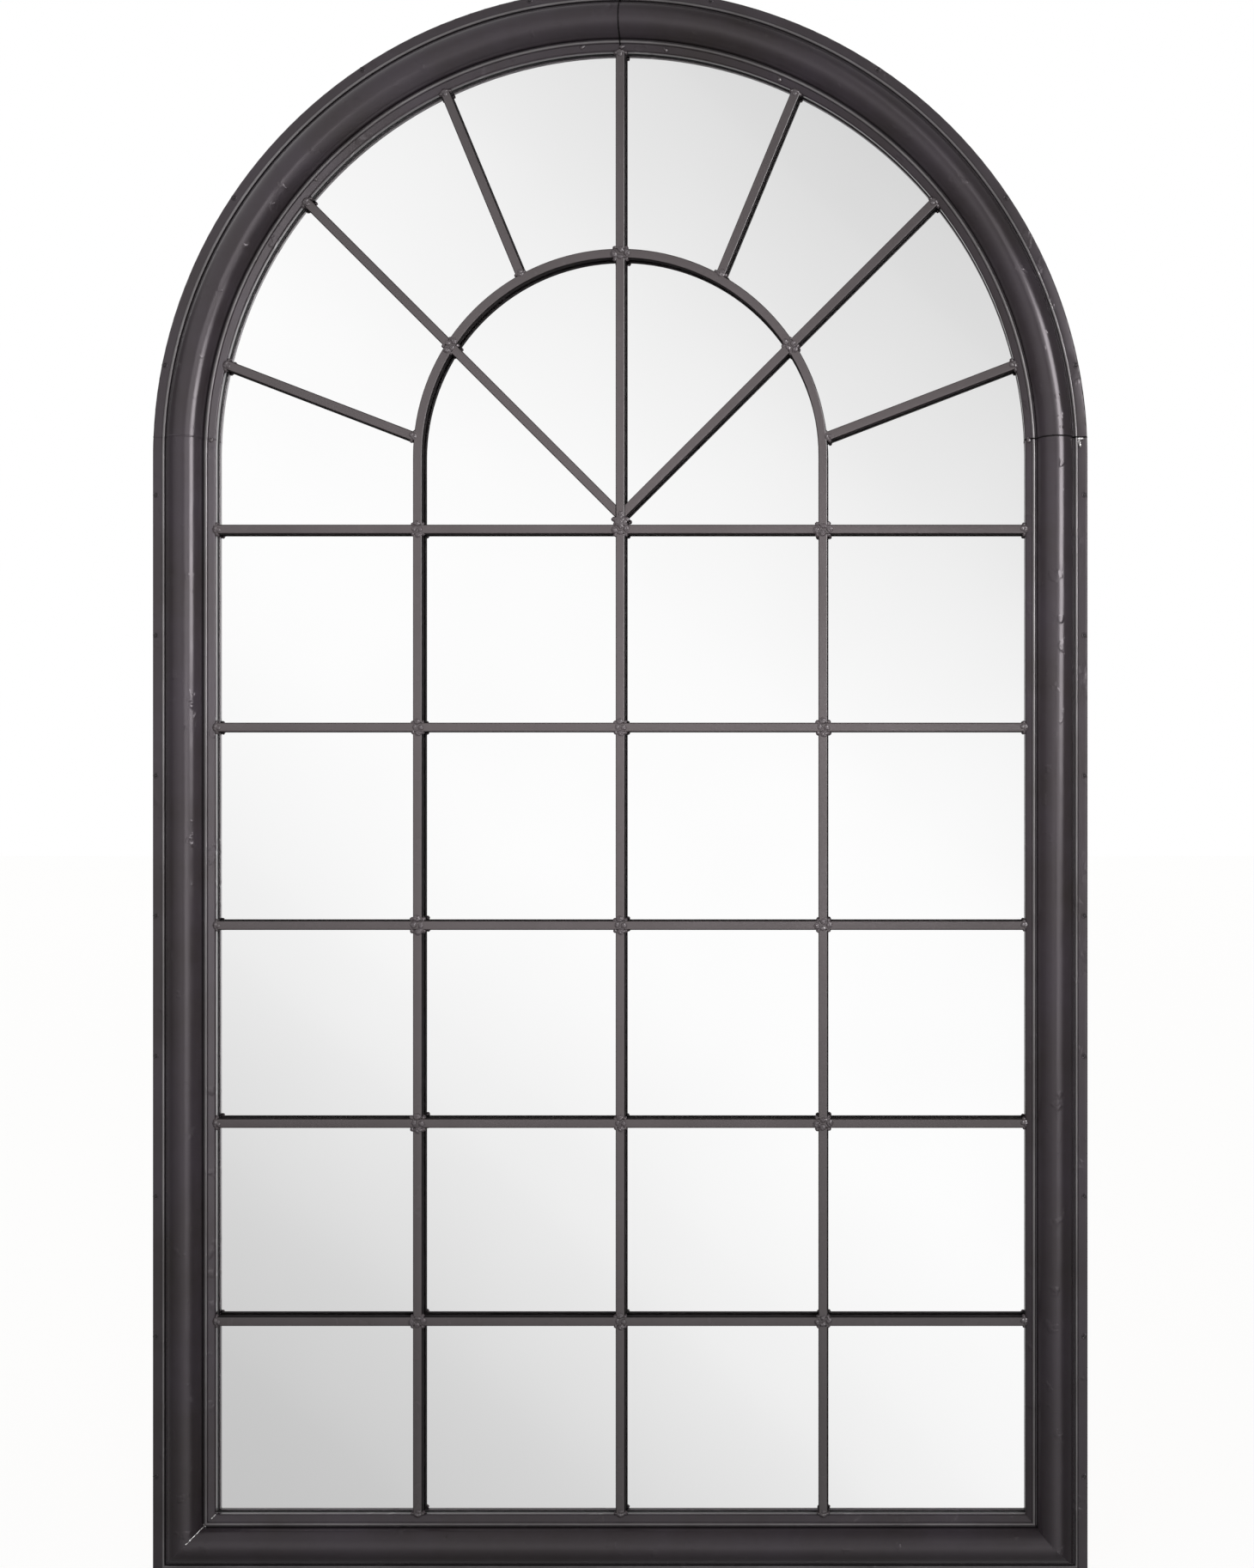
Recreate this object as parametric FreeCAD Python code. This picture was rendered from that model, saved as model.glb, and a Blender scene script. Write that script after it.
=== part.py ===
import FreeCAD, Part
import math
import os

# Arched window mirror: a pressed sheet-steel moulding over a timber frame, a welded
# grid of glazing bars with a fan head, and one sheet of mirror glass behind it.
# Millimetres. +Z is up, the front faces -Y, and X runs across. The origin is the
# middle of the bottom edge, half way through the depth.
#
# Sections are drawn in two numbers: "across", measured inward from the outer edge,
# and "level", measured forward from the timber frame's back plane.

Vector = FreeCAD.Vector
Placement = FreeCAD.Placement
Rotation = FreeCAD.Rotation

# Overall
WIDTH = 1000.0
HEIGHT = 1700.0

# Sheet moulding, from its outer edge inward
SHEET = 1.0
SIDE_WALL = 17.0          # how far the sheet wraps back round the outer edge
FLANGE_LEVEL = 32.0       # front of the flat flange
FLANGE_WIDTH = 10.0
EDGE_RADIUS = 1.5
RIB_WIDTH = 4.0           # one small rib each side of the bead
RIB_RISE = 2.2
CREASE = 1.0              # flat between a rib and the bead
BEAD_WIDTH = 39.5
BEAD_RISE = 16.0
LIP_WIDTH = 7.1
LIP_FALL = 2.0            # the lip slopes back towards the glass
LIP_RADIUS = 2.0
RETURN_DEPTH = 7.5        # lip's edge, front to back
RETURN_RADIUS = 1.5
RETURN_FLANGE = 7.6       # folded under the lip, and pressed on the glazing tape
SEAM_RISE = 16.0          # joint between stile and arch, above the springing

# Timber frame
BATTEN_CLEARANCE = 0.3    # between the timber and the sheet over it

# Glass and what holds it
TAPE = 3.0
TAPE_SETBACK = 1.0        # tape's edge, back from the lip's edge
TAPE_WIDTH = 6.6
GLASS = 4.0
GLASS_COVER = 8.6         # how far the glass reaches under the lip
GLASS_CLEARANCE = 2.0     # round the glass, inside the timber
BOARD = 3.0
BOARD_INSET = 0.5         # backing board's edge, inside the glass's edge
BLOCK_LENGTH = 60.0       # setting blocks under the glass
BLOCK_SPREAD = 442.0

# Glazing bars
BAR_WIDTH = 10.0
BAR_DEPTH = 8.0
BAR_ARRIS = 1.5
BAR_PROUD = 1.0           # bars' front, forward of the lip's edge
WELD_GAP = 0.1            # at each welded end
CROSSBARS = 5
COLUMN_PITCH = 217.0
TOP_BAR_DROP = 78.4       # top crossbar's centre line, below the springing
FAN_RISE = 14.4           # where the fan's spokes meet, above the top crossbar
LOW_SPOKE_ANGLE = 21.0
DIAGONAL_ANGLE = 45.0
HIGH_SPOKE_ANGLE = 67.5

# Pins that hold the sheet to the timber
PIN_RADIUS = 0.6
PIN_LENGTH = 16.0
PIN_HEAD_RADIUS = 1.6
PIN_HEAD = 0.8
PIN_INSET = 3.5
PIN_PITCH = 150.0
FIRST_PIN_DROP = 42.0     # highest pin in a stile, below the springing
LAST_PIN = 60.0           # least height of a stile's pin, and end distance on the rail
PINS_PER_QUARTER = 4

# Screws, plates and clips
HOLE_CLEARANCE = 0.1
SCREW_RADIUS = 1.75
SCREW_HEAD_RADIUS = 3.5
SCREW_LENGTH = 16.0
PLATE = 1.5
PLATE_LENGTH = 80.0
PLATE_WIDTH = 20.0
PLATE_HOLES = (-30.0, -15.0, 15.0, 30.0)
CLIP = 1.0
CLIP_WIDTH = 15.0
CLIP_REACH = 11.0
CLIP_LEG = 11.5
CLIP_SCREW_RADIUS = 1.5
CLIP_SCREW_LENGTH = 14.0
CLIP_HEAD_RADIUS = 3.0
CLIP_HEAD = 1.8
CLIP_PITCH = 300.0
FIRST_CLIP = 150.0
CLIP_STEP = 30.0          # degrees between the arch's clips

# Hangers and wall bumpers
STRAP = 1.5
STRAP_WIDTH = 14.0
STRAP_LENGTH = 42.0
STRAP_HOLES = (14.0, 32.0)
HANGER_DROP = 100.0       # ring's hinge line, below the springing
RING_WIRE_RADIUS = 1.75
RING_CLEARANCE = 0.3
RING_HALF_WIDTH = 11.0
RING_CORNER = 3.0
RING_SIDE = 6.0
WALL_CLEARANCE = 0.9      # wall to the curled straps, kept by the bumpers
BUMPER_RADIUS = 9.0
BUMPER_EDGE = 1.0
BUMPER_HEIGHT = 80.0
BUMPER_ANGLE = 45.0

# Worked out from the sizes above
HALF_WIDTH = WIDTH / 2
SPRINGING = HEIGHT - HALF_WIDTH
BEAD_START = FLANGE_WIDTH + RIB_WIDTH + CREASE
BEAD_END = BEAD_START + BEAD_WIDTH
LIP_START = BEAD_END + CREASE + RIB_WIDTH
MOULDING = LIP_START + LIP_WIDTH
CREST_LEVEL = FLANGE_LEVEL + BEAD_RISE
LIP_LEVEL = FLANGE_LEVEL - LIP_FALL
TAPE_LEVEL = LIP_LEVEL - RETURN_DEPTH
GLASS_LEVEL = TAPE_LEVEL - TAPE
BOARD_LEVEL = GLASS_LEVEL - GLASS
BOARD_BACK = BOARD_LEVEL - BOARD
HINGE_RADIUS = RING_WIRE_RADIUS + RING_CLEARANCE
HINGE_LEVEL = -(HINGE_RADIUS + STRAP)
HINGE_HEIGHT = SPRINGING - HANGER_DROP
BUMPER = WALL_CLEARANCE - 2 * HINGE_LEVEL
MID_DEPTH = (CREST_LEVEL - BUMPER) / 2

BATTEN_OUTER = SHEET + BATTEN_CLEARANCE
BATTEN_FRONT = FLANGE_LEVEL - SHEET - BATTEN_CLEARANCE
GLASS_EDGE = MOULDING - GLASS_COVER
BATTEN_INNER = GLASS_EDGE - GLASS_CLEARANCE
BATTEN_MIDDLE = (BATTEN_OUTER + BATTEN_INNER) / 2

OPENING = HALF_WIDTH - MOULDING
BAR_FRONT = LIP_LEVEL + BAR_PROUD
BAR_BACK = BAR_FRONT - BAR_DEPTH
TOP_BAR = SPRINGING - TOP_BAR_DROP
PANE_HEIGHT = (TOP_BAR - BAR_WIDTH / 2 - MOULDING - (CROSSBARS - 1) * BAR_WIDTH) / CROSSBARS
ROW_PITCH = PANE_HEIGHT + BAR_WIDTH
FAN_CENTRE = TOP_BAR + FAN_RISE

FORWARD = Vector(0, -1, 0)
BACKWARD = Vector(0, 1, 0)
ARCH_CENTRE = Vector(0, 0, SPRINGING)


# ---------- drawing sections and sweeping them ----------

def at(across, level):
    """Point of a section."""
    return Vector(across, MID_DEPTH - level, 0)


def stroke_edge(stroke):
    """Two points make a line, three points an arc."""
    points = [at(*point) for point in stroke]
    if len(points) == 2:
        return Part.LineSegment(*points).toShape()
    return Part.Arc(*points).toShape()


def section_face(strokes):
    """Face inside a ring of strokes. Ends that do not meet are joined by a line."""
    edges = []
    for stroke, following in zip(strokes, strokes[1:] + strokes[:1]):
        edges.append(stroke_edge(stroke))
        if math.dist(stroke[-1], following[0]) > 1e-6:
            edges.append(stroke_edge([stroke[-1], following[0]]))
    return Part.Face(Part.Wire(edges))


def line_stroke(start, end, inset):
    """Line from start to end, moved by the inset to its right."""
    length = math.dist(start, end)
    right = ((end[1] - start[1]) / length, (start[0] - end[0]) / length)
    return [(point[0] + right[0] * inset, point[1] + right[1] * inset) for point in (start, end)]


def arc_stroke(centre, radius, first, last):
    """Arc between two angles in degrees, through the angle half way."""
    stroke = []
    for angle in (first, (first + last) / 2, last):
        turn = math.radians(angle)
        stroke.append((centre[0] + radius * math.cos(turn), centre[1] + radius * math.sin(turn)))
    return stroke


def hump_stroke(start, width, rise, inset):
    """Arc that rises from the flange's level over a width and comes down again."""
    radius = (width ** 2 / 4 + rise ** 2) / (2 * rise)
    centre = (start + width / 2, FLANGE_LEVEL + rise - radius)
    last = math.degrees(math.atan2(radius - rise, width / 2))
    return arc_stroke(centre, radius - inset, 180 - last, last)


def rectangle_section(across, levels):
    """Plain rectangle between two distances across and two levels."""
    near, far = across
    back, front = levels
    corners = [(near, back), (far, back), (far, front), (near, front)]
    return section_face([list(pair) for pair in zip(corners, corners[1:] + corners[:1])])


def placed(shape, x, z, turn=0.0):
    """Copy of a shape, turned about the Y axis and then moved."""
    copy = shape.copy()
    copy.Placement = Placement(Vector(x, 0, z), Rotation(BACKWARD, turn)).multiply(copy.Placement)
    return copy


def mirrored(shape):
    return shape.mirror(Vector(0, 0, 0), Vector(1, 0, 0))


def arch_sweep(section, half_width, first, last):
    """Section swept round the arch. Angles start at the left springing."""
    start = placed(section, -half_width, SPRINGING)
    start.rotate(ARCH_CENTRE, BACKWARD, first)
    return start.revolve(ARCH_CENTRE, BACKWARD, last - first)


def arched_plate(half_width, base, levels):
    """Plate with a flat foot, straight sides and a round head."""
    back, front = levels
    y = MID_DEPTH - back
    foot_left = Vector(-half_width, y, base)
    foot_right = Vector(half_width, y, base)
    head_right = Vector(half_width, y, SPRINGING)
    head_left = Vector(-half_width, y, SPRINGING)
    crown = Vector(0, y, SPRINGING + half_width)
    edges = [
        Part.LineSegment(foot_left, foot_right).toShape(),
        Part.LineSegment(foot_right, head_right).toShape(),
        Part.Arc(head_right, crown, head_left).toShape(),
        Part.LineSegment(head_left, foot_left).toShape(),
    ]
    return Part.Face(Part.Wire(edges)).extrude(FORWARD * (front - back))


def fused(shapes):
    return shapes[0].fuse(shapes[1:]).removeSplitter()


def drilled(shape, holes):
    """Shape with every hole cut that reaches its bounding box."""
    near = [hole for hole in holes if hole.BoundBox.intersect(shape.BoundBox)]
    return shape.cut(near) if near else shape


# ---------- stations round the frame ----------
# A station's local X points inward from the outer edge, and its local Z runs along it.

def stile_stations(height):
    left = Placement(Vector(-HALF_WIDTH, 0, height), Rotation())
    right = Placement(Vector(HALF_WIDTH, 0, height), Rotation(BACKWARD, 180))
    return [left, right]


def rail_station(x):
    return Placement(Vector(x, 0, 0), Rotation(BACKWARD, -90))


def arch_station(angle):
    turn = math.radians(angle)
    spot = Vector(-HALF_WIDTH * math.cos(turn), 0, SPRINGING + HALF_WIDTH * math.sin(turn))
    return Placement(spot, Rotation(BACKWARD, angle))


def repeated(shape, stations):
    """One copy of a shape at each station."""
    copies = []
    for station in stations:
        copy = shape.copy()
        copy.Placement = station.multiply(copy.Placement)
        copies.append(copy)
    return copies


def steps_within(first, step, last):
    """Evenly stepped values from first, as far as last."""
    count = int(abs(last - first) / abs(step)) + 1
    return [first + index * step for index in range(count)]


def centred_steps(step, reach):
    """Evenly stepped values about zero, no further out than reach."""
    count = int(2 * reach / step) + 1
    return [(index - (count - 1) / 2) * step for index in range(count)]


def pin_stations():
    stations = []
    for height in steps_within(SPRINGING - FIRST_PIN_DROP, -PIN_PITCH, LAST_PIN):
        stations += stile_stations(height)
    stations += [rail_station(x) for x in centred_steps(PIN_PITCH, HALF_WIDTH - LAST_PIN)]
    step = 90.0 / PINS_PER_QUARTER
    stations += [arch_station((index + 0.5) * step) for index in range(2 * PINS_PER_QUARTER)]
    return stations


def clip_stations():
    stations = []
    for height in steps_within(FIRST_CLIP, CLIP_PITCH, SPRINGING - CLIP_WIDTH):
        stations += stile_stations(height)
    stations += [rail_station(x) for x in centred_steps(CLIP_PITCH, OPENING - CLIP_WIDTH)]
    stations += [arch_station(angle) for angle in steps_within(CLIP_STEP / 2, CLIP_STEP, 180)]
    return stations


# ---------- fasteners, each drawn once ----------

def countersunk_screw(grow):
    """Screw driven forward from the plate's back face. Grown, it is its own hole."""
    tip = SCREW_RADIUS + grow
    base = Vector(0, MID_DEPTH + PLATE, 0)
    head = Part.makeCone(SCREW_HEAD_RADIUS + grow, tip, PLATE, base, FORWARD)
    shank = Part.makeCylinder(tip, SCREW_LENGTH, base, FORWARD)
    return fused([head, shank])


def cross_recess(radius, depth, base, direction):
    """Cross that a screwdriver fits, to be cut from a screw's head."""
    blade = Part.makeBox(2 * radius, radius / 2, 2 * depth, Vector(-radius, -radius / 4, -depth))
    cross = blade.fuse(blade.rotated(Vector(0, 0, 0), Vector(0, 0, 1), 90))
    cross.Placement = Placement(base, Rotation(Vector(0, 0, 1), direction))
    return cross


def back_screw():
    recess = cross_recess(SCREW_HEAD_RADIUS / 2, PLATE / 2, Vector(0, MID_DEPTH + PLATE, 0), FORWARD)
    return countersunk_screw(0).cut(recess)


def sheet_pin():
    """Pin driven back through the flange, with a low round head."""
    seat = at(PIN_INSET, FLANGE_LEVEL)
    shank = Part.makeCylinder(PIN_RADIUS, PIN_LENGTH, seat, BACKWARD)
    head = Part.makeCylinder(PIN_HEAD_RADIUS, PIN_HEAD, seat, FORWARD)
    rim = [edge for edge in head.Edges if edge.BoundBox.YMax < seat.y - PIN_HEAD / 2]
    return shank.fuse(head.makeFillet(PIN_HEAD / 2, rim))


def pin_hole():
    start = at(PIN_INSET, FLANGE_LEVEL + PIN_HEAD)
    length = PIN_LENGTH + PIN_HEAD + HOLE_CLEARANCE
    return Part.makeCylinder(PIN_RADIUS + HOLE_CLEARANCE, length, start, BACKWARD)


CLIP_FOOT = BATTEN_INNER + BATTEN_CLEARANCE
CLIP_SCREW_LEVEL = BOARD_BACK - CLIP_LEG / 2 - CLIP


def board_clip():
    """Angle clip: one leg on the timber's inner side, the other under the board."""
    leg = rectangle_section((CLIP_FOOT, CLIP_FOOT + CLIP), (BOARD_BACK - CLIP_LEG, BOARD_BACK))
    arm = rectangle_section((CLIP_FOOT, CLIP_FOOT + CLIP_REACH), (BOARD_BACK - CLIP, BOARD_BACK))
    clip = leg.fuse(arm).removeSplitter().extrude(Vector(0, 0, CLIP_WIDTH))
    clip.translate(Vector(0, 0, -CLIP_WIDTH / 2))
    return clip.cut(clip_screw_hole())


def clip_screw():
    """Round-head screw through the clip's leg into the timber's inner side."""
    seat = at(CLIP_FOOT + CLIP, CLIP_SCREW_LEVEL)
    shank = Part.makeCylinder(CLIP_SCREW_RADIUS, CLIP_SCREW_LENGTH, seat, Vector(-1, 0, 0))
    head = Part.makeCylinder(CLIP_HEAD_RADIUS, CLIP_HEAD, seat, Vector(1, 0, 0))
    rim = [edge for edge in head.Edges if edge.BoundBox.XMin > seat.x + CLIP_HEAD / 2]
    top = seat + Vector(CLIP_HEAD, 0, 0)
    recess = cross_recess(CLIP_HEAD_RADIUS / 2, CLIP_HEAD / 2, top, Vector(1, 0, 0))
    return shank.fuse(head.makeFillet(CLIP_HEAD / 2, rim)).cut(recess)


def clip_screw_hole():
    seat = at(CLIP_FOOT + CLIP, CLIP_SCREW_LEVEL)
    radius = CLIP_SCREW_RADIUS + HOLE_CLEARANCE
    length = CLIP_SCREW_LENGTH + HOLE_CLEARANCE
    return Part.makeCylinder(radius, length, seat, Vector(-1, 0, 0))


# ---------- sheet moulding ----------

def skin(inset):
    """Sheet's outside, from the side wall over the bead to the fold under the lip."""
    wall_top = FLANGE_LEVEL - EDGE_RADIUS
    lip_centre = (MOULDING - LIP_RADIUS, LIP_LEVEL - LIP_RADIUS)
    lip_root = (LIP_START, FLANGE_LEVEL)
    bearing = math.atan2(lip_root[1] - lip_centre[1], lip_root[0] - lip_centre[0])
    touch = math.degrees(bearing - math.acos(LIP_RADIUS / math.dist(lip_root, lip_centre)))
    lip_edge = arc_stroke(lip_centre, LIP_RADIUS, touch, 0)[0]
    fold_centre = (MOULDING - RETURN_RADIUS, TAPE_LEVEL + RETURN_RADIUS)
    return [
        line_stroke((0, FLANGE_LEVEL - SIDE_WALL), (0, wall_top), inset),
        arc_stroke((EDGE_RADIUS, wall_top), EDGE_RADIUS - inset, 180, 90),
        line_stroke((EDGE_RADIUS, FLANGE_LEVEL), (FLANGE_WIDTH, FLANGE_LEVEL), inset),
        hump_stroke(FLANGE_WIDTH, RIB_WIDTH, RIB_RISE, inset),
        line_stroke((BEAD_START - CREASE, FLANGE_LEVEL), (BEAD_START, FLANGE_LEVEL), inset),
        hump_stroke(BEAD_START, BEAD_WIDTH, BEAD_RISE, inset),
        line_stroke((BEAD_END, FLANGE_LEVEL), (BEAD_END + CREASE, FLANGE_LEVEL), inset),
        hump_stroke(BEAD_END + CREASE, RIB_WIDTH, RIB_RISE, inset),
        line_stroke(lip_root, lip_edge, inset),
        arc_stroke(lip_centre, LIP_RADIUS - inset, touch, 0),
        line_stroke((MOULDING, lip_centre[1]), (MOULDING, fold_centre[1]), inset),
        arc_stroke(fold_centre, RETURN_RADIUS - inset, 0, -90),
        line_stroke((fold_centre[0], TAPE_LEVEL), (MOULDING - RETURN_FLANGE, TAPE_LEVEL), inset),
    ]


def moulding_section():
    inside = [stroke[::-1] for stroke in reversed(skin(SHEET))]
    return section_face(skin(0) + inside)


def mitred(shape, length):
    """Straight run that starts at z = 0, cut at 45 degrees there and, if asked, at its end."""
    reach = 2 * MOULDING
    corners = [Vector(-reach, 0, -reach), Vector(reach, 0, reach), Vector(reach, 0, -reach)]
    wedge = Part.Face(Part.makePolygon(corners + corners[:1])).extrude(BACKWARD * 4 * CREST_LEVEL)
    wedge.translate(FORWARD * 2 * CREST_LEVEL)
    trimmed = shape.cut(wedge)
    if length is None:
        return trimmed
    far = wedge.mirror(Vector(0, 0, length / 2), Vector(0, 0, 1))
    return trimmed.cut(far)


def mouldings(holes):
    """Two stiles, the bottom rail and two quarters of the arch."""
    section = moulding_section()
    seam_angle = math.degrees(math.asin(SEAM_RISE / HALF_WIDTH))
    straight = placed(mitred(section.extrude(Vector(0, 0, SPRINGING)), None), -HALF_WIDTH, 0)
    stile = fused([straight, arch_sweep(section, HALF_WIDTH, 0, seam_angle)])
    quarter = arch_sweep(section, HALF_WIDTH, seam_angle, 90)
    rail = placed(mitred(section.extrude(Vector(0, 0, WIDTH)), WIDTH), HALF_WIDTH, 0, -90)
    return {
        "left_stile_moulding": drilled(stile, holes),
        "right_stile_moulding": drilled(mirrored(stile), holes),
        "bottom_rail_moulding": drilled(rail, holes),
        "left_arch_moulding": drilled(quarter, holes),
        "right_arch_moulding": drilled(mirrored(quarter), holes),
    }


# ---------- timber frame ----------

def battens(holes):
    """Timber frame inside the moulding, butt-jointed at the corners, springing and crown."""
    section = rectangle_section((BATTEN_OUTER, BATTEN_INNER), (0, BATTEN_FRONT))
    stile_length = SPRINGING - BATTEN_OUTER
    stile = placed(section.extrude(Vector(0, 0, stile_length)), -HALF_WIDTH, BATTEN_OUTER)
    rail_half = HALF_WIDTH - BATTEN_INNER
    rail = placed(section.extrude(Vector(0, 0, 2 * rail_half)), rail_half, 0, -90)
    quarter = arch_sweep(section, HALF_WIDTH, 0, 90)
    return {
        "left_stile_batten": drilled(stile, holes),
        "right_stile_batten": drilled(mirrored(stile), holes),
        "bottom_rail_batten": drilled(rail, holes),
        "left_arch_batten": drilled(quarter, holes),
        "right_arch_batten": drilled(mirrored(quarter), holes),
    }


# ---------- glazing bars ----------

def bar_section():
    """Bar with its two front arrises rounded, centred across."""
    half = BAR_WIDTH / 2
    shoulder = half - BAR_ARRIS
    front = BAR_FRONT - BAR_ARRIS
    return section_face([
        [(-half, BAR_BACK), (-half, front)],
        arc_stroke((-shoulder, front), BAR_ARRIS, 180, 90),
        arc_stroke((shoulder, front), BAR_ARRIS, 90, 0),
        [(half, front), (half, BAR_BACK)],
    ])


def bar_between(start, end):
    """Straight bar between two points (x, z), short of each by the weld gap."""
    length = math.dist(start, end) - 2 * WELD_GAP
    slope = math.degrees(math.atan2(end[1] - start[1], end[0] - start[0]))
    bar = bar_section().extrude(Vector(0, 0, length))
    bar.translate(Vector(0, 0, WELD_GAP))
    return placed(bar, start[0], start[1], 90 - slope)


def crossbars():
    pieces = {}
    for row in range(CROSSBARS):
        height = TOP_BAR - row * ROW_PITCH
        pieces[f"crossbar_{row + 1}"] = bar_between((-OPENING, height), (OPENING, height))
    return pieces


def mullions():
    """Upright bars, cut between the crossbars."""
    pieces = {}
    for column, side in enumerate(("left", "centre", "right")):
        x = (column - 1) * COLUMN_PITCH
        for row in range(CROSSBARS):
            head = TOP_BAR - row * ROW_PITCH - BAR_WIDTH / 2
            pieces[f"{side}_mullion_{row + 1}"] = bar_between((x, head - PANE_HEIGHT), (x, head))
    return pieces


def fan_arch():
    """Inner arch with two straight legs that stand on the top crossbar."""
    section = bar_section()
    foot = TOP_BAR + BAR_WIDTH / 2 + WELD_GAP
    leg = section.extrude(Vector(0, 0, SPRINGING - foot))
    bow = arch_sweep(section, COLUMN_PITCH, 0, 180)
    return fused([placed(leg, -COLUMN_PITCH, foot), bow, placed(leg, COLUMN_PITCH, foot)])


def spoke(angle):
    """Bar from the fan's centre out past the lip, before it is cut to length."""
    turn = math.radians(angle)
    end = (WIDTH * math.cos(turn), FAN_CENTRE + WIDTH * math.sin(turn))
    return bar_between((0, FAN_CENTRE), end)


def fan_spokes():
    """Spokes cut where they meet the inner arch, the lip and each other."""
    levels = (BAR_BACK - BAR_DEPTH, BAR_FRONT + BAR_DEPTH)
    foot = TOP_BAR + BAR_WIDTH / 2 + WELD_GAP
    inner_space = arched_plate(COLUMN_PITCH - BAR_WIDTH / 2 - WELD_GAP, foot, levels)
    outer_space = arched_plate(OPENING - WELD_GAP, foot, levels)
    outer_space = outer_space.cut(arched_plate(COLUMN_PITCH + BAR_WIDTH / 2 + WELD_GAP, foot, levels))
    beside = BAR_WIDTH / 2 + WELD_GAP
    depth = levels[1] - levels[0]
    right_half = Part.makeBox(WIDTH, depth, HEIGHT, Vector(beside, MID_DEPTH - levels[1], 0))

    centre_inner = bar_between((0, foot - WELD_GAP), (0, HEIGHT)).common(inner_space)
    centre_outer = bar_between((0, SPRINGING), (0, HEIGHT)).common(outer_space)
    pieces = {"centre_spoke_inner": centre_inner, "centre_spoke_outer": centre_outer}
    right = {
        "low_spoke": spoke(LOW_SPOKE_ANGLE).common(outer_space),
        "diagonal_spoke_inner": spoke(DIAGONAL_ANGLE).common(inner_space).common(right_half),
        "diagonal_spoke_outer": spoke(DIAGONAL_ANGLE).common(outer_space),
        "high_spoke": spoke(HIGH_SPOKE_ANGLE).common(outer_space),
    }
    for name, shape in right.items():
        pieces[f"right_{name}"] = shape
        pieces[f"left_{name}"] = mirrored(shape)
    return pieces


# ---------- glass and backing ----------

def glazing():
    glass = arched_plate(HALF_WIDTH - GLASS_EDGE, GLASS_EDGE, (BOARD_LEVEL, GLASS_LEVEL))
    board_edge = GLASS_EDGE + BOARD_INSET
    board = arched_plate(HALF_WIDTH - board_edge, board_edge, (BOARD_BACK, BOARD_LEVEL))
    tape_levels = (GLASS_LEVEL, TAPE_LEVEL)
    tape_inner = MOULDING - TAPE_SETBACK
    tape_outer = tape_inner - TAPE_WIDTH
    tape = arched_plate(HALF_WIDTH - tape_outer, tape_outer, tape_levels)
    tape = tape.cut(arched_plate(HALF_WIDTH - tape_inner, tape_inner, tape_levels))
    block_levels = (GLASS_LEVEL - GLASS, GLASS_LEVEL)
    block = rectangle_section((BATTEN_INNER, GLASS_EDGE), block_levels)
    block = block.extrude(Vector(0, 0, BLOCK_LENGTH))
    block.translate(Vector(0, 0, -BLOCK_LENGTH / 2))
    blocks = repeated(block, [rail_station(side * BLOCK_SPREAD / 2) for side in (-1, 1)])
    return {
        "mirror_glass": glass,
        "glazing_tape": tape,
        "backing_board": board,
        "setting_blocks": Part.makeCompound(blocks),
    }


# ---------- joint plates ----------

def plate_places():
    """Middle of each plate (x, z) and its turn. Turn 0 stands the plate upright."""
    joint = HALF_WIDTH - BATTEN_INNER
    middle = HALF_WIDTH - BATTEN_MIDDLE
    return [
        (-joint, BATTEN_MIDDLE, 90),
        (joint, BATTEN_MIDDLE, 90),
        (-middle, SPRINGING, 0),
        (middle, SPRINGING, 0),
        (0, HEIGHT - BATTEN_MIDDLE, 90),
    ]


def joint_plate():
    """Flat plate on the timber's back, with four countersunk holes."""
    corner = Vector(-PLATE_WIDTH / 2, MID_DEPTH, -PLATE_LENGTH / 2)
    plate = Part.makeBox(PLATE_WIDTH, PLATE, PLATE_LENGTH, corner)
    return plate.cut([placed(countersunk_screw(HOLE_CLEARANCE), 0, z) for z in PLATE_HOLES])


def at_plate_holes(shape):
    copies = []
    for x, z, turn in plate_places():
        copies += [placed(placed(shape, 0, spot), x, z, turn) for spot in PLATE_HOLES]
    return copies


# ---------- hangers and bumpers ----------

HANGER_X = HALF_WIDTH - BATTEN_MIDDLE


def hanger_strap():
    """Strip screwed to the timber, its top end curled round the ring's straight side."""
    curl_centre = (0, HINGE_LEVEL)
    outer = HINGE_RADIUS + STRAP
    section = section_face([
        [(-STRAP_LENGTH, 0), (0, 0)],
        arc_stroke(curl_centre, outer, 90, -180),
        arc_stroke(curl_centre, HINGE_RADIUS, -180, 90),
        [(0, -STRAP), (-STRAP_LENGTH, -STRAP)],
    ])
    strap = section.extrude(Vector(0, 0, STRAP_WIDTH))
    strap.translate(Vector(0, 0, -STRAP_WIDTH / 2))
    strap.rotate(Vector(0, 0, 0), BACKWARD, -90)
    return strap.cut([placed(countersunk_screw(HOLE_CLEARANCE), 0, -z) for z in STRAP_HOLES])


def wire_bend(radius, angle, centre, start):
    """Bent wire in the XZ plane, swept through an angle from a start angle."""
    turn = math.radians(start)
    spot = centre + Vector(radius * math.cos(turn), 0, radius * math.sin(turn))
    along = Vector(-math.sin(turn), 0, math.cos(turn))
    circle = Part.Face(Part.Wire(Part.makeCircle(RING_WIRE_RADIUS, spot, along)))
    return circle.revolve(centre, FORWARD, angle)


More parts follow.
